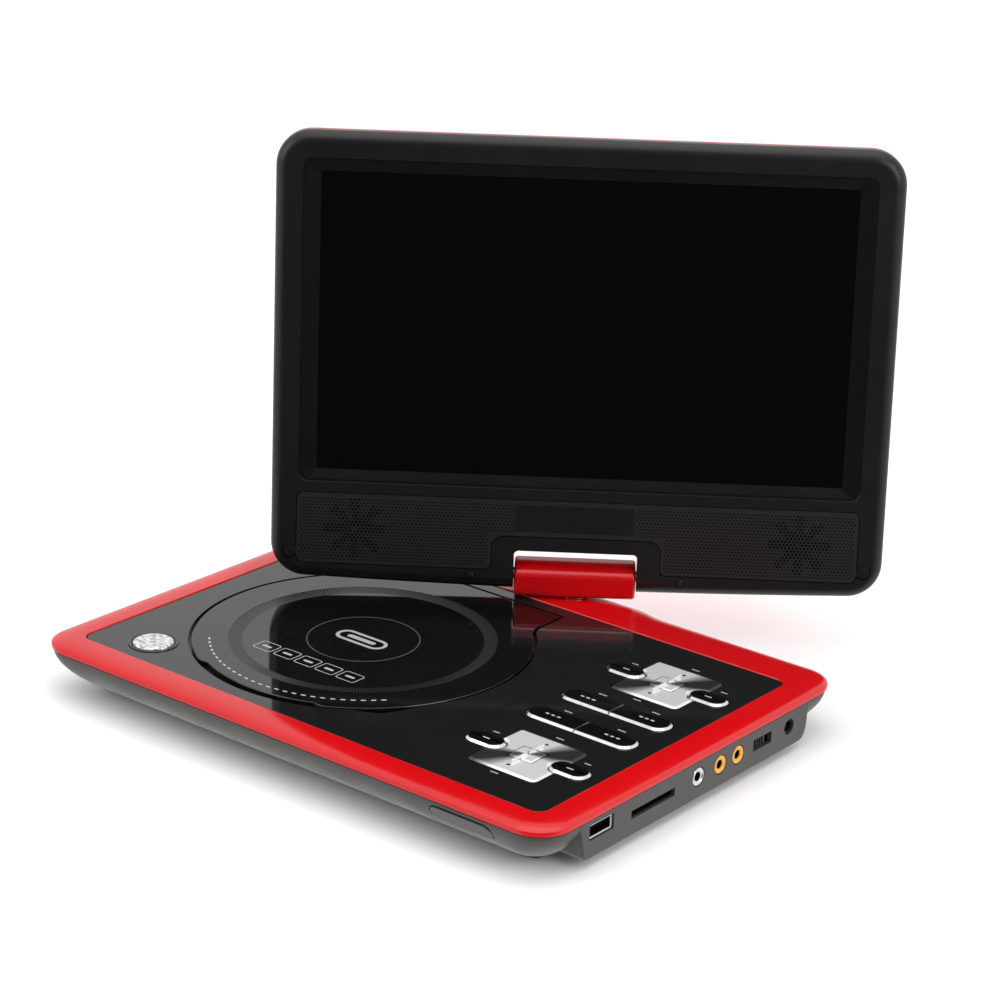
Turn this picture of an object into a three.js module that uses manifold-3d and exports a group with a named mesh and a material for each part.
// Portable disc player with a swivelling screen. Millimetres: +X to the port side, +Y to the hinge, +Z up.
// The origin is the middle of the flat underside; the rubber feet stand 1 mm below it.
import * as THREE from "three";
import { mergeVertices } from "three/addons/utils/BufferGeometryUtils.js";
import Module from "manifold-3d";

const wasm = await Module();
wasm.setup();

// Overall sizes
const BASE_WIDTH = 250;
const BASE_DEPTH = 182.4;
const BASE_CORNER = 14;
const GAP = 0.3;
const WALL = 2;

// Heights in the base
const FLOOR_TOP = WALL;
const SHELL_TOP = 17.3;
const RIM_BOTTOM = SHELL_TOP + GAP;
const RIM_CREASE = 19.4;
const RIM_TOP = 21.2;
const PANEL_TOP = 20.8;
const PANEL_BOTTOM = 18.9;
const LEDGE_TOP = PANEL_BOTTOM - 0.2;

// Rim round the black panel
const RIM_SIDE = 12;
const RIM_FRONT = 12.4;
const RIM_BACK = 19.5;
const PANEL_CORNER = 4.5;
const PANEL_X = BASE_WIDTH / 2 - RIM_SIDE;
const PANEL_FRONT = -BASE_DEPTH / 2 + RIM_FRONT;
const PANEL_BACK = BASE_DEPTH / 2 - RIM_BACK;
const SEAM_X = PANEL_X - 65.3;

// Lower shell: its walls lean in under the rim, and the port side stays upright
const HULL_TOP_INSET = 0.6;
const HULL_SPREAD = 16.5;
const HULL_POWER = 1.8;
const HULL_LEVELS = 6;
const PORT_FACE = BASE_WIDTH / 2 - 0.8;
const PORT_BOTTOM = 2.6;
const PORT_FRONT = -BASE_DEPTH / 2 + 19.8;
const PORT_BACK = BASE_DEPTH / 2 - 21.2;

// Hinge
const HINGE_Y = BASE_DEPTH / 2 - 5.45;
const HINGE_Z = 30;
const SWIVEL = THREE.MathUtils.degToRad(37.2);
const LEAN = THREE.MathUtils.degToRad(6.2);
const BULGE_HALF = 31;
const BULGE_OUT = 2.5;
const BLOCK_WIDTH = 48.8;
const BLOCK_DEPTH = 14.4;
const BLOCK_BOTTOM = 22;
const BLOCK_TOP = 35.4;
const POST_R = 3.5;
const SHAFT_R = 2.4;

// Lid: x to its right, y up from the tilt axis, z out of the screen
const LID_WIDTH = BASE_WIDTH - 4.4;
const LID_HEIGHT = BASE_DEPTH - 2.5;
const LID_HALF = 7.8;
const LID_BOTTOM = HINGE_Y - BASE_DEPTH / 2 + 1.7;
const LID_TOP = LID_BOTTOM + LID_HEIGHT;
const LID_BOW = 1.8;
const LID_CORNER = 14;
const LID_EDGE = 5;
const SCREEN_HALF = LID_WIDTH / 2 - 18;
const SCREEN_LOW = LID_BOTTOM + 45;
const SCREEN_HIGH = LID_TOP - 15.6;
const SCREEN_DEPTH = 2;
const SURROUND_SIDE = 7.2;
const SURROUND_END = 5.1;
const NOTCH_HALF = BLOCK_WIDTH / 2 + 0.4;
const NOTCH_TOP = LID_BOTTOM + 14.6;
const STRIP_LOW = LID_BOTTOM + 6.5;
const STRIP_HIGH = LID_BOTTOM + 35.5;
const STRIP_HALF = LID_WIDTH / 2 - 10.6;
const STRIP_NOTCH_HALF = NOTCH_HALF + 9.2;
const STRIP_NOTCH_TOP = LID_BOTTOM + 20.5;
const SPEAKER_X = LID_WIDTH / 2 - 34;
const SPEAKER_Y = LID_BOTTOM + 21;
const SPEAKER_R = 13;
const PLUG_X = STRIP_NOTCH_HALF + 8;
const BRACKET_START = NOTCH_HALF + WALL + 2.2;
const BRACKET_WIDTH = 7;
const SHAFT_HALF = BRACKET_START + BRACKET_WIDTH + 2;
const SHAFT_ROOM = [-SHAFT_HALF - 2, SHAFT_HALF + 2];

// Disc bay and its door
const DOOR_R = 66.5;
const DOOR_X = -PANEL_X + 79.8;
const DOOR_Y = (PANEL_FRONT + PANEL_BACK) / 2 - 1.4;
const DOOR_TOP = PANEL_TOP + 0.1;
const DOOR_BOTTOM = PANEL_BOTTOM + 0.1;
const TAIL_HALF = 43.2;
const TAIL_BACK = 69.3;
const TAIL_BLEND = 12;
const DOOR_GROOVE = 1.3;
const FINGER_DEPTH = 2.2;
const FINGER_ANGLE = THREE.MathUtils.degToRad(28);
const DISH_R = 61.5;
const DISH_FLOOR = 12.6;
const DOOR_PIN_Y = DOOR_Y + TAIL_BACK - 2.2;
const DOOR_PIN_Z = 17.4;
const DOOR_PIN_R = 1;
const KNUCKLE_R = 2;
const KNUCKLE_X = 30;
const KNUCKLE_LENGTH = 9;

// Disc drive
const HUB_R = 12;
const DRIVE_Z = 9;
const LENS_START = 25;
const SLED_TRAVEL = 32;
const RAIL_X = 17;
const RAIL_R = 1.5;
const SCREW_X = 24.5;
const SCREW_R = 1.4;

// Keys
const KEYS_X = PANEL_X - 32.5;
const KEYS_Y = (PANEL_FRONT + PANEL_BACK) / 2 + 0.5;
const KEY_TOP = PANEL_TOP + 0.9;
const KEY_BOTTOM = 17.2;
const PAD_STEP = 42;
const PAD_WIDTH = 30.5;
const PAD_DEPTH = 31.5;
const BAR_STEP = 10.5;
const BAR_HALF = 24.3;
const BAR_WIDTH = 10.6;
const PILL_LENGTH = 16.4;
const PILL_WIDTH = 9.4;
const PILL_X = 19;
const KEY_GAP = 0.4;
const BUTTON_X = -PANEL_X + 24.2;
const BUTTON_Y = PANEL_FRONT + 15;
const BUTTON_R = 8;

// Ports, by their distance along the port side
const PORT_Z = 11.3;
const USB_Y = -58.8;
const CARD_Y = -28.8;
const PHONE_Y = -1.5;
const AV_Y = [12.2, 23.5];
const SWITCH_Y = 39.2;
const POWER_Y = 56.8;
const JACK_BORE = 1.8;

const COLOURS = {
  red: [0xc8141c, 0.15, 0],
  gloss: [0x0b0b0c, 0.1, 0],
  shell: [0x46423e, 0.5, 0],
  satin: [0x1c1c1d, 0.4, 0],
  screen: [0x030303, 0.08, 0],
  chrome: [0xd8d8d8, 0.15, 1],
  steel: [0x9a9da0, 0.35, 1],
  rubber: [0x151515, 0.9, 0],
  board: [0x14532d, 0.5, 0],
  yellow: [0xe0a020, 0.4, 0],
  battery: [0x2c4a7a, 0.4, 0],
  lens: [0x8090c0, 0.05, 0],
};

const player = new THREE.Group();
const swivelGroup = new THREE.Group();
swivelGroup.position.set(0, HINGE_Y, 0);
swivelGroup.rotation.z = SWIVEL;
player.add(swivelGroup);
const lidGroup = new THREE.Group();
lidGroup.position.set(0, 0, HINGE_Z);
lidGroup.rotation.x = Math.PI / 2 - LEAN;
swivelGroup.add(lidGroup);

// Turns a closed geometry into a solid that can be cut and joined.
function solid(geometry) {
  const plain = new THREE.BufferGeometry();
  plain.setAttribute("position", geometry.getAttribute("position").clone());
  if (geometry.index) plain.setIndex(geometry.index.clone());
  const merged = mergeVertices(plain, 1e-4);
  const corners = merged.index.array;
  const kept = [];
  for (let i = 0; i < corners.length; i += 3) {
    const [a, b, c] = corners.slice(i, i + 3);
    if (a !== b && b !== c && c !== a) kept.push(a, b, c);
  }
  return new wasm.Manifold(new wasm.Mesh({
    numProp: 3,
    vertProperties: merged.getAttribute("position").array,
    triVerts: Uint32Array.from(kept),
  }));
}

function join(...solids) {
  return solids.reduce((all, one) => all.add(one));
}

function cut(from, ...tools) {
  return tools.reduce((rest, tool) => rest.subtract(tool), from);
}

function add(name, shape, colour, parent = player) {
  const mesh = shape.getMesh();
  const geometry = new THREE.BufferGeometry();
  geometry.setAttribute("position", new THREE.BufferAttribute(mesh.vertProperties, 3));
  geometry.setIndex(new THREE.BufferAttribute(mesh.triVerts, 1));
  geometry.computeVertexNormals();
  const [color, roughness, metalness] = COLOURS[colour];
  const node = new THREE.Mesh(geometry, new THREE.MeshStandardMaterial({ color, roughness, metalness }));
  node.name = name;
  parent.add(node);
}

function box([x0, x1], [y0, y1], [z0, z1]) {
  const shape = new THREE.BoxGeometry(x1 - x0, y1 - y0, z1 - z0);
  return solid(shape.translate((x0 + x1) / 2, (y0 + y1) / 2, (z0 + z1) / 2));
}

function slab(outline, low, high, curveSegments = 6) {
  const shape = new THREE.ExtrudeGeometry(outline, { depth: high - low, bevelEnabled: false, curveSegments });
  return solid(shape.translate(0, 0, low));
}

// A round bar along Z, at x and y; end can differ from r for a cone.
function barZ(x, y, r, low, high, sides = 24, end = r) {
  const shape = new THREE.CylinderGeometry(end, r, high - low, sides).rotateX(Math.PI / 2);
  return solid(shape.translate(x, y, (low + high) / 2));
}

function barX([x0, x1], y, z, r, sides = 16) {
  const shape = new THREE.CylinderGeometry(r, r, x1 - x0, sides).rotateZ(Math.PI / 2);
  return solid(shape.translate((x0 + x1) / 2, y, z));
}

function barY(x, [y0, y1], z, r, sides = 12) {
  const shape = new THREE.CylinderGeometry(r, r, y1 - y0, sides);
  return solid(shape.translate(x, (y0 + y1) / 2, z));
}

function roundedRect([x0, x1], [y0, y1], r) {
  const outline = new THREE.Shape();
  outline.absarc(x1 - r, y0 + r, r, -Math.PI / 2, 0);
  outline.absarc(x1 - r, y1 - r, r, 0, Math.PI / 2);
  outline.absarc(x0 + r, y1 - r, r, Math.PI / 2, Math.PI);
  outline.absarc(x0 + r, y0 + r, r, Math.PI, 1.5 * Math.PI);
  return outline;
}

function arc(x, y, r, from, to, steps) {
  return new THREE.EllipseCurve(x, y, r, r, from, to, to < from).getPoints(steps);
}

function pill(x, y, length, width) {
  return roundedRect([x - length / 2, x + length / 2], [y - width / 2, y + width / 2], width / 2 - 0.01);
}

// An outline's points without repeats, where one curve ends and the next starts.
function openRing(points) {
  return points.filter((p, i) => p.distanceTo(points[(i + 1) % points.length]) > 1e-5);
}

// A solid through a stack of outlines, each a Shape and its height, all drawn with equal point counts.
function loft(levels, curveSegments = 5) {
  const rings = levels.map(([outline]) => openRing(outline.extractPoints(curveSegments).shape));
  const count = rings[0].length;
  const positions = [];
  rings.forEach((ring, i) => ring.forEach((p) => positions.push(p.x, p.y, levels[i][1])));
  const index = [];
  for (let i = 0; i + 1 < rings.length; i += 1) {
    for (let k = 0; k < count; k += 1) {
      const a = i * count + k;
      const b = i * count + ((k + 1) % count);
      index.push(a, b, b + count, a, b + count, a + count);
    }
  }
  const top = (rings.length - 1) * count;
  for (const [a, b, c] of THREE.ShapeUtils.triangulateShape(rings[0], [])) index.push(c, b, a);
  for (const [a, b, c] of THREE.ShapeUtils.triangulateShape(rings[rings.length - 1], [])) {
    index.push(top + a, top + b, top + c);
  }
  const geometry = new THREE.BufferGeometry();
  geometry.setAttribute("position", new THREE.Float32BufferAttribute(positions, 3));
  geometry.setIndex(index);
  return solid(geometry);
}

function baseOutline(inset, cornerShrink = 1) {
  const x = BASE_WIDTH / 2 - inset;
  const y = BASE_DEPTH / 2 - inset;
  return roundedRect([-x, x], [-y, y], BASE_CORNER - inset * cornerShrink);
}

// How far the lower shell's wall stands inside the base's outline at height z.
function hullInset(z) {
  return HULL_TOP_INSET + HULL_SPREAD * (1 - z / SHELL_TOP) ** HULL_POWER;
}

function hull(low, extra) {
  const levels = [];
  for (let i = 0; i <= HULL_LEVELS; i += 1) {
    const z = low + (SHELL_TOP - low) * (i / HULL_LEVELS);
    levels.push([baseOutline(hullInset(z) + extra, 0.4), z]);
  }
  return loft(levels, 4);
}

// The bump in the back edge round the hinge, moved in by inset.
function bulgeOutline(inset) {
  const edge = BASE_DEPTH / 2 - inset;
  const outline = new THREE.Shape();
  outline.moveTo(-BULGE_HALF - 9, edge - 9);
  outline.lineTo(BULGE_HALF + 9, edge - 9);
  outline.lineTo(BULGE_HALF + 9, edge - 0.05);
  outline.bezierCurveTo(BULGE_HALF + 3, edge, BULGE_HALF, edge + BULGE_OUT, BULGE_HALF - 8, edge + BULGE_OUT);
  outline.lineTo(8 - BULGE_HALF, edge + BULGE_OUT);
  outline.bezierCurveTo(-BULGE_HALF, edge + BULGE_OUT, -BULGE_HALF - 3, edge, -BULGE_HALF - 9, edge - 0.05);
  return outline;
}

// An outline in Y and Z, made solid along X.
function slabX(outline, [x0, x1], curveSegments = 3) {
  const shape = new THREE.ExtrudeGeometry(outline, { depth: x1 - x0, bevelEnabled: false, curveSegments });
  shape.rotateX(Math.PI / 2).rotateZ(Math.PI / 2);
  return solid(shape.translate(x0, 0, 0));
}

function portBlock(inset, [x0, x1]) {
  const outline = new THREE.Shape();
  outline.moveTo(PORT_FRONT - 0.6 + inset, SHELL_TOP);
  outline.lineTo(PORT_FRONT + 3 + inset, PORT_BOTTOM + 2 + inset);
  outline.lineTo(PORT_FRONT + 4.6 + inset, PORT_BOTTOM + inset);
  outline.lineTo(PORT_BACK - 4 - inset, PORT_BOTTOM + inset);
  outline.lineTo(PORT_BACK - 1.2 - inset, PORT_BOTTOM + 3 + inset);
  outline.lineTo(PORT_BACK - inset, SHELL_TOP);
  return slabX(outline, [x0, x1]);
}

function bottomShell() {
  const backBoss = loft([
    [roundedRect([-36, 36], [60, HINGE_Y + 2.6], 6), 5],
    [roundedRect([-38, 38], [60, HINGE_Y + 7.6], 6), 11],
    [roundedRect([-38, 38], [60, HINGE_Y + 7.6], 6), SHELL_TOP],
  ]);
  const outside = join(hull(0, 0), portBlock(0, [88, PORT_FACE]), backBoss);
  const inside = join(hull(FLOOR_TOP, 2.6), portBlock(WALL, [80, PORT_FACE - WALL]));
  const bossPocket = barZ(0, HINGE_Y, 6.3, 7.5, SHELL_TOP + 1);
  const wall = [PORT_FACE - 5, PORT_FACE + 1];
  const holes = [
    box(wall, [USB_Y - 6.9, USB_Y + 6.9], [9.5, 15.5]),
    box(wall, [CARD_Y - 12.9, CARD_Y + 12.9], [9.1, 12.3]),
    box(wall, [SWITCH_Y - 5.9, SWITCH_Y + 5.9], [PORT_Z - 2.3, PORT_Z + 2.3]),
    barX(wall, POWER_Y, PORT_Z, 3.1),
    ...[PHONE_Y, ...AV_Y].map((y) => barX(wall, y, PORT_Z, 3.8)),
  ];
  const footPockets = footPlaces().map(([x, y]) => barZ(x, y, 4.5, -1, 0.6, 20));
  const window = box([-14.3, 14.3], [-3.8, 3.8], [-1.2, 3]);
  return cut(outside, inside.subtract(socketWall()), bossPocket, placeWindow(window), ...holes, ...footPockets);
}

// What stays solid round the hinge socket when the shell is hollowed.
function socketWall() {
  return barZ(0, HINGE_Y, 9, 0, SHELL_TOP + 1);
}

function footPlaces() {
  const x = BASE_WIDTH / 2 - HULL_SPREAD - 5.3;
  const y = BASE_DEPTH / 2 - HULL_SPREAD - 6.3;
  return [[-x, -y], [x, -y], [-x, y], [x, y]];
}

// Lays a piece drawn flat onto the leaning front wall, with its own z pointing out.
function placeWindow(shape) {
  const z = 12.3;
  const slope = Math.atan(
    (HULL_SPREAD * HULL_POWER * (1 - z / SHELL_TOP) ** (HULL_POWER - 1)) / SHELL_TOP,
  );
  const y = -BASE_DEPTH / 2 + hullInset(z);
  return shape.rotate([90 + THREE.MathUtils.radToDeg(slope), 0, 0]).translate([PANEL_X - 26.2, y, z]);
}

function rimFrame() {
  const profile = [[0.4, RIM_BOTTOM], [0, RIM_BOTTOM + 0.6], [0, RIM_CREASE], [1.6, 20.3], [5, 20.95], [9, RIM_TOP]];
  const ring = loft(profile.map(([inset, z]) => [baseOutline(inset), z]));
  const bulge = loft(profile.map(([inset, z]) => [bulgeOutline(inset), z]), 4);
  const opening = slab(roundedRect([-PANEL_X, PANEL_X], [PANEL_FRONT, PANEL_BACK], PANEL_CORNER), LEDGE_TOP, 30);
  const ledge = 2.4;
  const through = roundedRect([-PANEL_X + ledge, PANEL_X - ledge], [PANEL_FRONT + ledge, PANEL_BACK - ledge], 3);
  return cut(join(ring, bulge), opening, slab(through, 0, 30), barZ(0, HINGE_Y, 4.2, 0, 30));
}

// The door's outline grown by g: a circle that flares into a straight hinge edge.
function doorOutline(g) {
  const r = DOOR_R + g;
  const half = TAIL_HALF + g;
  const blend = TAIL_BLEND - g;
  const across = half + blend;
  const up = Math.sqrt((r + blend) ** 2 - across ** 2);
  const angle = Math.atan2(up, across);
  return new THREE.Shape([
    new THREE.Vector2(DOOR_X + half, DOOR_Y + TAIL_BACK + g),
    ...arc(DOOR_X + across, DOOR_Y + up, blend, Math.PI, Math.PI + angle, 3),
    ...arc(DOOR_X, DOOR_Y, r, angle, -Math.PI - angle, 40),
    ...arc(DOOR_X - across, DOOR_Y + up, blend, -angle, 0, 3),
    new THREE.Vector2(DOOR_X - half, DOOR_Y + TAIL_BACK + g),
  ]);
}

// The finger notch in the door's front edge.
function fingerNotch() {
  const outline = new THREE.Shape();
  const start = -Math.PI / 2 - FINGER_ANGLE;
  const end = -Math.PI / 2 + FINGER_ANGLE;
  outline.absarc(DOOR_X, DOOR_Y, DOOR_R + 3, start, end, false);
  outline.absarc(DOOR_X, DOOR_Y, DOOR_R - FINGER_DEPTH, end, start, true);
  return slab(outline, 0, 30, 8);
}

function knuckleRanges(grow) {
  const half = KNUCKLE_LENGTH / 2 + grow;
  return [-KNUCKLE_X, KNUCKLE_X].map((x) => [DOOR_X + x - half, DOOR_X + x + half]);
}

function discDoor() {
  const plate = slab(doorOutline(0), DOOR_BOTTOM, DOOR_TOP);
  const dish = barZ(DOOR_X, DOOR_Y, 47, DOOR_TOP - 0.6, DOOR_TOP + 0.01, 48, 52.5);
  const knuckles = knuckleRanges(0).flatMap((range) => [
    barX(range, DOOR_PIN_Y, DOOR_PIN_Z, KNUCKLE_R),
    box(range, [DOOR_PIN_Y - 1.4, DOOR_PIN_Y + 1.4], [DOOR_PIN_Z, DOOR_BOTTOM + 0.5]),
  ]);
  const pinHole = barX([DOOR_X - 45, DOOR_X + 45], DOOR_PIN_Y, DOOR_PIN_Z, DOOR_PIN_R + 0.1);
  return cut(join(plate, ...knuckles), dish, fingerNotch(), pinHole);
}

function sledSlot() {
  const front = DOOR_Y - LENS_START - SLED_TRAVEL - 3.5;
  return roundedRect([DOOR_X - 6, DOOR_X + 6], [front, DOOR_Y - HUB_R - 4], 3);
}

function loaderDeck() {
  const flange = slab(
    roundedRect([DOOR_X - DOOR_R - 5, DOOR_X + DOOR_R + 5], [DOOR_Y - DOOR_R - 4, DOOR_Y + TAIL_BACK + 2], 30),
    LEDGE_TOP - 1.3,
    LEDGE_TOP - 0.1,
  );
  const tub = barZ(DOOR_X, DOOR_Y, DISH_R + 1.3, DISH_FLOOR - 1, LEDGE_TOP - 0.1, 48);
  const dish = barZ(DOOR_X, DOOR_Y, DISH_R, DISH_FLOOR, 30, 48);
  const knuckleRoom = knuckleRanges(0.5).map((range) => box(range, [DOOR_PIN_Y - 3, DOOR_PIN_Y + 5], [10, 30]));
  const ears = knuckleRanges(3.2).map((range) =>
    box(range, [DOOR_PIN_Y - 2.6, DOOR_PIN_Y + 2.6], [DOOR_PIN_Z - 2.6, LEDGE_TOP - 0.1]),
  );
  const pinHole = barX([DOOR_X - 38, DOOR_X + 38], DOOR_PIN_Y, DOOR_PIN_Z, DOOR_PIN_R + 0.05);
  const body = cut(join(flange, tub, ...ears), ...knuckleRoom, dish, pinHole);
  const buttonRoom = barZ(BUTTON_X, BUTTON_Y, BUTTON_R + 1, 0, 30);
  return cut(body, barZ(DOOR_X, DOOR_Y, HUB_R + 1.5, 0, 30), slab(sledSlot(), 0, 30), buttonRoom);
}

function discHub() {
  return join(
    barZ(DOOR_X, DOOR_Y, 1, 11.4, 13.2, 12),
    barZ(DOOR_X, DOOR_Y, HUB_R, 12.9, 13.9),
    barZ(DOOR_X, DOOR_Y, 7.3, 13.8, 16.4, 24),
    barZ(DOOR_X, DOOR_Y, 7.3, 16.3, 17.6, 24, 5),
  );
}

function driveY(distance) {
  return DOOR_Y - distance;
}

function driveChassis() {
  const plate = slab(
    roundedRect([DOOR_X - 34, DOOR_X + 34], [driveY(LENS_START + SLED_TRAVEL + 15), driveY(-14)], 4),
    4.4,
    5.4,
  );
  const posts = [-RAIL_X, RAIL_X].flatMap((x) =>
    [12, LENS_START + SLED_TRAVEL + 13].map((distance) =>
      box([DOOR_X + x - 2.6, DOOR_X + x + 2.6], [driveY(distance + 2), driveY(distance - 2)], [5, 11]),
    ),
  );
  const bores = [-RAIL_X, RAIL_X].map((x) => barY(DOOR_X + x, [-95, 40], DRIVE_Z, RAIL_R + 0.08));
  return cut(join(plate, ...posts), ...bores);
}

function rail(x) {
  return barY(DOOR_X + x, [driveY(LENS_START + SLED_TRAVEL + 14.5), driveY(10.5)], DRIVE_Z, RAIL_R);
}

function laserSled() {
  const back = driveY(LENS_START - 8);
  const front = driveY(LENS_START + 9);
  const body = join(
    box([DOOR_X - 20, DOOR_X + 20], [front, back], [6.6, 11.1]),
    box([DOOR_X + 19, DOOR_X + SCREW_X + 2.4], [front + 5, back - 5], [6.6, 11.1]),
  );
  const bores = [-RAIL_X, RAIL_X].map((x) => barY(DOOR_X + x, [-95, 40], DRIVE_Z, RAIL_R + 0.12));
  const nut = barY(DOOR_X + SCREW_X, [-95, 40], DRIVE_Z, SCREW_R + 0.15);
  const lensSeat = barZ(DOOR_X, driveY(LENS_START), 3.6, 9.4, 12, 20);
  return cut(body, ...bores, nut, lensSeat);
}

function laserLens() {
  const y = driveY(LENS_START);
  return join(barZ(DOOR_X, y, 3.3, 9.7, 12.4, 20), barZ(DOOR_X, y, 2.4, 12.3, 13, 20, 1.4));
}

function squarePad(y) {
  const x = [KEYS_X - PAD_WIDTH / 2, KEYS_X + PAD_WIDTH / 2];
  return roundedRect(x, [y - PAD_DEPTH / 2, y + PAD_DEPTH / 2], 2);
}

function pillAt(x, y, grow = 0) {
  return pill(x, y, PILL_LENGTH + 2 * grow, PILL_WIDTH + 2 * grow);
}

function pillPlaces(y) {
  return [[KEYS_X - PILL_X, y], [KEYS_X + PILL_X, y]];
}

function key(outline, low = KEY_BOTTOM) {
  return slab(outline, low, KEY_TOP, 4);
}

function padKey(y) {
  const plate = slab(squarePad(y), KEY_BOTTOM, KEY_TOP - 0.3, 3);
  const room = pillPlaces(y).map(([x]) => slab(pillAt(x, y, KEY_GAP), 0, 30, 4));
  return cut(plate, ...room);
}

function barKey(y, side) {
  const whole = slab(pill(KEYS_X, y, 2 * BAR_HALF, BAR_WIDTH), KEY_BOTTOM, KEY_TOP, 4);
  const other = [KEYS_X - 0.2, KEYS_X + 40];
  const keep = side < 0 ? other : other.map((x) => 2 * KEYS_X - x).reverse();
  return cut(whole, box(keep, [y - 10, y + 10], [0, 40]));
}

function padRows() {
  return [KEYS_Y + PAD_STEP, KEYS_Y - PAD_STEP];
}

function barRows() {
  return [KEYS_Y + BAR_STEP, KEYS_Y - BAR_STEP];
}

function keyOpenings() {
  const grown = KEY_GAP;
  const pads = padRows().flatMap((y) => [
    slab(roundedRect(
      [KEYS_X - PAD_WIDTH / 2 - grown, KEYS_X + PAD_WIDTH / 2 + grown],
      [y - PAD_DEPTH / 2 - grown, y + PAD_DEPTH / 2 + grown],
      2.2,
    ), 0, 30, 3),
    ...pillPlaces(y).map(([x]) => slab(pillAt(x, y, grown), 0, 30, 4)),
  ]);
  const bars = barRows().map((y) =>
    slab(pill(KEYS_X, y, 2 * (BAR_HALF + grown), BAR_WIDTH + 2 * grown), 0, 30, 4),
  );
  return [...pads, ...bars];
}

function panelPlate([x0, x1]) {
  const whole = slab(
    roundedRect([-PANEL_X + GAP, PANEL_X - GAP], [PANEL_FRONT + GAP, PANEL_BACK - GAP], PANEL_CORNER),
    PANEL_BOTTOM,
    PANEL_TOP,
  );
  return whole.intersect(box([x0, x1], [-BASE_DEPTH, BASE_DEPTH], [0, 40]));
}

function discPanel() {
  const doorRoom = slab(doorOutline(DOOR_GROOVE), 0, 40);
  const buttonRoom = barZ(BUTTON_X, BUTTON_Y, BUTTON_R + 1.2, 0, 40);
  const ringSeat = barZ(BUTTON_X, BUTTON_Y, BUTTON_R + 2.1, PANEL_TOP - 0.7, 40, 32);
  return cut(panelPlate([-PANEL_X - 1, SEAM_X - 0.15]), doorRoom, buttonRoom, ringSeat);
}

function keyPanel() {
  return cut(panelPlate([SEAM_X + 0.15, PANEL_X + 1]), ...keyOpenings());
}

function openButton() {
  return join(
    barZ(BUTTON_X, BUTTON_Y, BUTTON_R, 16.6, KEY_TOP - 0.3, 32),
    barZ(BUTTON_X, BUTTON_Y, BUTTON_R, KEY_TOP - 0.31, KEY_TOP, 32, BUTTON_R - 0.9),
  );
}

function buttonRing() {
  const outer = barZ(BUTTON_X, BUTTON_Y, BUTTON_R + 1.8, PANEL_TOP - 0.4, PANEL_TOP + 0.4, 32, BUTTON_R + 1.4);
  return cut(outer, barZ(BUTTON_X, BUTTON_Y, BUTTON_R + 0.4, 0, 40, 32));
}

function usbPort() {
  const y = [USB_Y - 6.6, USB_Y + 6.6];
  const shellBox = box([PORT_FACE - 15, PORT_FACE - 0.2], y, [9.8, 15.2]);
  const inside = box([PORT_FACE - 13.5, PORT_FACE + 1], [y[0] + 0.45, y[1] - 0.45], [10.25, 14.75]);
  const tongue = box([PORT_FACE - 14, PORT_FACE - 2], [USB_Y - 5.5, USB_Y + 5.5], [12.7, 14.5]);
  return join(cut(shellBox, inside), tongue);
}

function cardSlot() {
  const body = box([PORT_FACE - 26, PORT_FACE - 0.4], [CARD_Y - 12.6, CARD_Y + 12.6], [8.9 + GAP, 12.2]);
  return cut(body, box([PORT_FACE - 24, PORT_FACE + 1], [CARD_Y - 12, CARD_Y + 12], [9.7, 11.9]));
}

// A round 3.5 mm socket at y along the port side.
function jack(y) {
  const barrel = barX([PORT_FACE - 13, PORT_FACE + 0.3], y, PORT_Z, 3.4, 24);
  return cut(barrel, barX([PORT_FACE - 11, PORT_FACE + 2], y, PORT_Z, JACK_BORE, 24));
}

function powerJack() {
  const barrel = barX([PORT_FACE - 12, PORT_FACE - 0.6], POWER_Y, PORT_Z, 2.8, 20);
  const room = barX([PORT_FACE - 10, PORT_FACE + 1], POWER_Y, PORT_Z, 2.2, 20);
  return join(cut(barrel, room), barX([PORT_FACE - 11, PORT_FACE - 1.5], POWER_Y, PORT_Z, 0.6, 8));
}

function powerSwitch() {
  return join(
    box([PORT_FACE - 3.4, PORT_FACE - 0.3], [SWITCH_Y - 5.5, SWITCH_Y + 2.8], [PORT_Z - 1.9, PORT_Z + 1.9]),
    box([PORT_FACE - 5.4, PORT_FACE - 3.3], [SWITCH_Y - 2.4, SWITCH_Y - 0.4], [PORT_Z - 1, PORT_Z + 1]),
  );
}

function mainBoard() {
  return box([SEAM_X - 8, PORT_FACE - 4.5], [PORT_FRONT + 8, PORT_BACK - 8], [6, 7.6]);
}

function hingeBlock() {
  const outline = roundedRect([-BLOCK_DEPTH / 2, BLOCK_DEPTH / 2], [BLOCK_BOTTOM, BLOCK_TOP], 3);
  const block = slabX(outline, [-BLOCK_WIDTH / 2, BLOCK_WIDTH / 2], 4);
  const shaftHole = barX(SHAFT_ROOM, 0, HINGE_Z, SHAFT_R + 0.1);
  return cut(block, shaftHole, barZ(0, 0, POST_R + 0.4, 0, 26.4));
}

function swivelPost() {
  return join(
    barZ(0, 0, POST_R, 9, 26, 24),
    barZ(0, 0, 5.5, RIM_TOP + 0.2, BLOCK_BOTTOM - 0.2, 32),
  );
}

function swivelSocket() {
  return cut(barZ(0, HINGE_Y, 6, 8, 20.4), barZ(0, HINGE_Y, POST_R + 0.12, 0, 30), rimSeat());
}

// Leaves the socket clear of the rim above it.
function rimSeat() {
  return cut(barZ(0, HINGE_Y, 20, SHELL_TOP, 30), barZ(0, HINGE_Y, 3.95, 0, 31));
}

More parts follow.
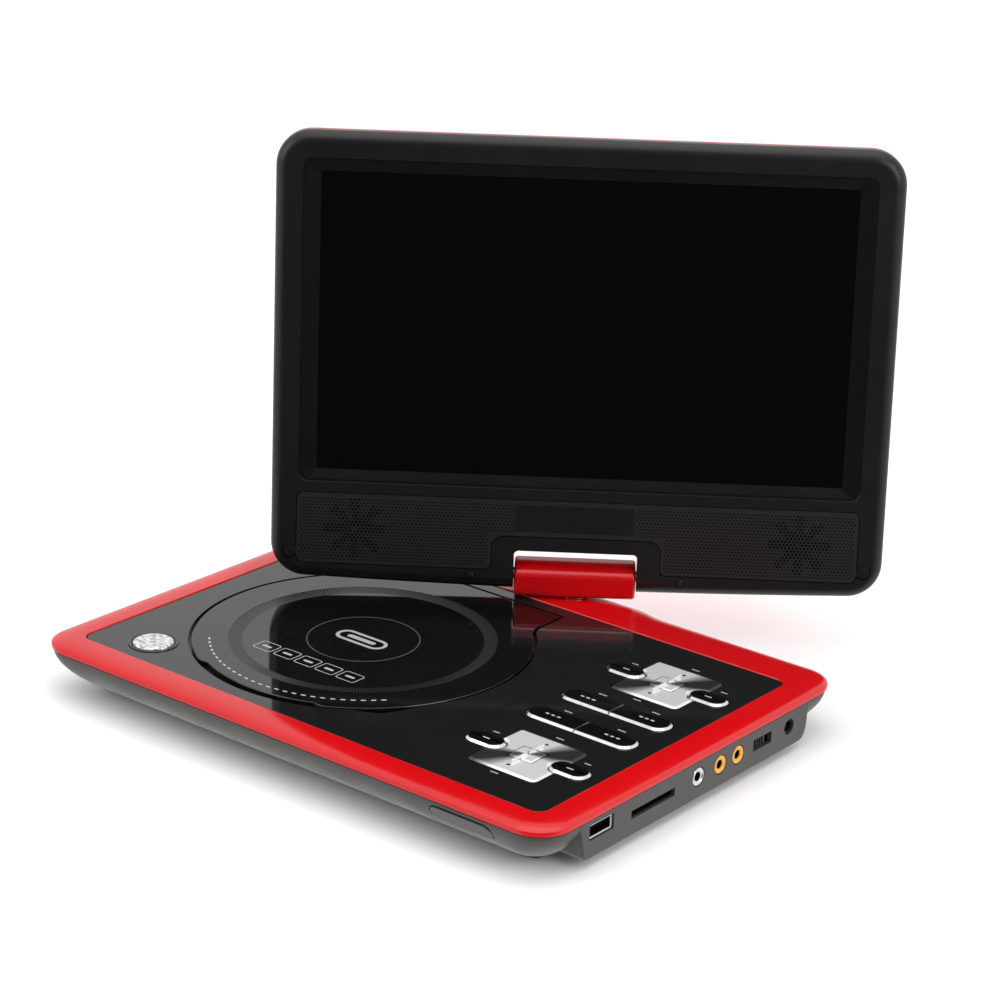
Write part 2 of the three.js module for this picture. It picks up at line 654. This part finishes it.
// The lid's outline, moved in by inset; its bottom edge bows down a little in the middle.
function lidOutline(inset) {
  const x = LID_WIDTH / 2 - inset;
  const low = LID_BOTTOM + inset;
  const high = LID_TOP - inset;
  const r = LID_CORNER - inset;
  const outline = new THREE.Shape();
  outline.moveTo(r - x, low);
  outline.quadraticCurveTo(0, low - 2 * LID_BOW, x - r, low);
  outline.absarc(x - r, low + r, r, -Math.PI / 2, 0);
  outline.absarc(x - r, high - r, r, 0, Math.PI / 2);
  outline.absarc(r - x, high - r, r, Math.PI / 2, Math.PI);
  outline.absarc(r - x, low + r, r, Math.PI, 1.5 * Math.PI);
  return outline;
}

// Half of the lid from its middle plane to the face at side * LID_HALF, with a rounded edge.
function lidHalf(side, inset) {
  const levels = [[lidOutline(inset), 0.15]];
  const face = LID_HALF - inset;
  for (const turn of [0, 30, 60, 90]) {
    const angle = THREE.MathUtils.degToRad(turn);
    const r = LID_EDGE - inset * 0.6;
    levels.push([lidOutline(inset + r * (1 - Math.cos(angle))), face - r * (1 - Math.sin(angle))]);
  }
  const half = loft(levels, 4);
  return side > 0 ? half : half.mirror([0, 0, 1]);
}

function notchBox(grow) {
  return box([-NOTCH_HALF - grow, NOTCH_HALF + grow], [LID_BOTTOM - 20, NOTCH_TOP + grow], [-20, 20]);
}

function lidShell(side) {
  const hollow = lidHalf(side, WALL).add(box([-LID_WIDTH / 2 + 6, LID_WIDTH / 2 - 6], [4, 160], [-0.2, 0.2]));
  const shaftHole = barX(SHAFT_ROOM, 0, 0, SHAFT_R + 0.3);
  return cut(lidHalf(side, 0), hollow.subtract(notchBox(WALL)), notchBox(0), shaftHole);
}

function screenWindow() {
  const half = SCREEN_HALF;
  const low = [SCREEN_LOW, SCREEN_HIGH];
  const wide = roundedRect([-half - SURROUND_SIDE, half + SURROUND_SIDE],
    [low[0] - SURROUND_END, low[1] + SURROUND_END], 4);
  const near = roundedRect([-half, half], low, 0.6);
  return loft([[near, 0], [near, LID_HALF - SCREEN_DEPTH], [wide, LID_HALF + 0.01]], 3);
}

// The speaker strip steps round the hinge notch.
function stripOutline(grow) {
  const half = STRIP_HALF + grow;
  const outline = new THREE.Shape();
  const r = 3;
  const notch = STRIP_NOTCH_HALF - grow;
  outline.absarc(half - r, STRIP_LOW - grow + r, r, -Math.PI / 2, 0);
  outline.absarc(half - r, STRIP_HIGH + grow - r, r, 0, Math.PI / 2);
  outline.absarc(r - half, STRIP_HIGH + grow - r, r, Math.PI / 2, Math.PI);
  outline.absarc(r - half, STRIP_LOW - grow + r, r, Math.PI, 1.5 * Math.PI);
  outline.lineTo(-notch, STRIP_LOW - grow);
  outline.absarc(5 - notch, STRIP_NOTCH_TOP - grow - 5, 5, Math.PI, Math.PI / 2, true);
  outline.absarc(notch - 5, STRIP_NOTCH_TOP - grow - 5, 5, Math.PI / 2, 0, true);
  outline.lineTo(notch, STRIP_LOW - grow);
  return outline;
}

// Each screw plug's x, y and radius.
function plugPlaces() {
  const outer = LID_WIDTH / 2 - 7.8;
  return [
    [-outer, LID_BOTTOM + 11, 2.7],
    [-PLUG_X, LID_BOTTOM + 3.8, 1.7],
    [PLUG_X, LID_BOTTOM + 3.8, 1.7],
    [outer, LID_BOTTOM + 11, 2.7],
  ];
}

function lidBezel() {
  const stripSeat = slab(stripOutline(GAP), LID_HALF - 1.2, LID_HALF + 1, 3);
  const speakerHoles = [-SPEAKER_X, SPEAKER_X].map((x) => barZ(x, SPEAKER_Y, SPEAKER_R - 1.5, 0, 20));
  const plugSeats = plugPlaces().map(([x, y, r]) => barZ(x, y, r + 0.3, LID_HALF - 1.4, LID_HALF + 1, 16));
  return cut(lidShell(1), screenWindow(), stripSeat, ...speakerHoles, ...plugSeats);
}

function lcdPanel() {
  const half = SCREEN_HALF + 3;
  return box([-half, half], [SCREEN_LOW - 3, SCREEN_HIGH + 3], [0.6, LID_HALF - WALL - GAP]);
}

function hingeBracket(side) {
  const range = [BRACKET_START, BRACKET_START + BRACKET_WIDTH].map((x) => side * x).sort((a, b) => a - b);
  const body = box(range, [LID_BOTTOM + WALL + 0.6, 9], [-4.6, 4.6]);
  return cut(body, barX(SHAFT_ROOM, 0, 0, SHAFT_R + 0.1));
}

function speaker(side) {
  const x = side * SPEAKER_X;
  return join(
    barZ(x, SPEAKER_Y, SPEAKER_R, 3.6, LID_HALF - WALL - GAP, 24),
    barZ(x, SPEAKER_Y, 7, 0.4, 3.7, 20),
  );
}

// Base
add("bottom_shell", bottomShell(), "shell");
add("rim_frame", rimFrame(), "red");
add("disc_panel", discPanel(), "gloss");
add("key_panel", keyPanel(), "gloss");
add("loader_deck", loaderDeck(), "satin");
add("drive_chassis", driveChassis(), "steel");
add("spindle_motor", barZ(DOOR_X, DOOR_Y, 9, 5.7, 11.2, 24), "steel");
add("sled_rail_left", rail(-RAIL_X), "steel");
add("sled_rail_right", rail(RAIL_X), "steel");
add("sled_motor", barY(DOOR_X + SCREW_X, [driveY(70), driveY(61)], DRIVE_Z, 3.2, 16), "steel");
add("main_board", mainBoard(), "board");
add("key_board", box([KEYS_X - 27, KEYS_X + 27], [KEYS_Y - 60, KEYS_Y + 60], [14.6, 16.2]), "board");
add("battery_pack", box([DOOR_X - 60, DOOR_X + 55], [DOOR_Y + 22, DOOR_Y + 64], [2.4, 10.8]), "battery");
add("door_hinge_pin", barX([DOOR_X - 37, DOOR_X + 37], DOOR_PIN_Y, DOOR_PIN_Z, DOOR_PIN_R, 12), "steel");
add("open_button_ring", buttonRing(), "chrome");
add("sensor_window", placeWindow(slab(pill(0, 0, 28, 7), -0.9, 0.05, 4)), "gloss");
add("usb_port", usbPort(), "steel");
add("card_slot", cardSlot(), "satin");
add("headphone_jack", jack(PHONE_Y), "chrome");
AV_Y.forEach((y, i) => add(`av_jack_${i + 1}`, jack(y), "yellow"));
add("power_jack", powerJack(), "satin");
add("swivel_socket", swivelSocket(), "steel");
footPlaces().forEach(([x, y], i) => add(`foot_${i + 1}`, barZ(x, y, 4.2, -1, 0.3, 20), "rubber"));

// Moving pieces of the base
add("disc_door", discDoor(), "gloss");
add("disc_hub", discHub(), "satin");
add("laser_sled", laserSled(), "satin");
add("laser_lens", laserLens(), "lens");
add("lead_screw", barY(DOOR_X + SCREW_X, [driveY(60.7), driveY(12)], DRIVE_Z, SCREW_R), "steel");
add("open_button", openButton(), "chrome");
add("power_switch", powerSwitch(), "satin");
["upper", "lower"].forEach((row, i) => {
  const y = padRows()[i];
  add(`pad_${row}`, padKey(y), "chrome");
  pillPlaces(y).forEach(([x], k) => add(`pill_${row}_${["left", "right"][k]}`, key(pillAt(x, y)), "chrome"));
  add(`bar_${row}_left`, barKey(barRows()[i], -1), "chrome");
  add(`bar_${row}_right`, barKey(barRows()[i], 1), "chrome");
});

// Swivel
add("swivel_post", swivelPost(), "steel", swivelGroup);
add("hinge_block", hingeBlock(), "red", swivelGroup);
add("tilt_shaft", barX([-SHAFT_HALF, SHAFT_HALF], 0, HINGE_Z, SHAFT_R), "steel", swivelGroup);

// Lid
add("lid_bezel", lidBezel(), "satin", lidGroup);
add("lid_cover", lidShell(-1), "red", lidGroup);
add("lcd_panel", lcdPanel(), "screen", lidGroup);
add("speaker_grille", slab(stripOutline(0), LID_HALF - 0.9, LID_HALF - 0.3, 3), "satin", lidGroup);
add("lcd_board", box([-50, 50], [SCREEN_LOW + 10, SCREEN_LOW + 70], [-3.6, -2]), "board", lidGroup);
[-1, 1].forEach((side) => {
  const name = side < 0 ? "left" : "right";
  add(`speaker_${name}`, speaker(side), "satin", lidGroup);
  add(`hinge_bracket_${name}`, hingeBracket(side), "steel", lidGroup);
});
plugPlaces().forEach(([x, y, r], i) => {
  add(`screw_plug_${i + 1}`, barZ(x, y, r, LID_HALF - 1.1, LID_HALF - 0.3, 16), "rubber", lidGroup);
});

export default player;
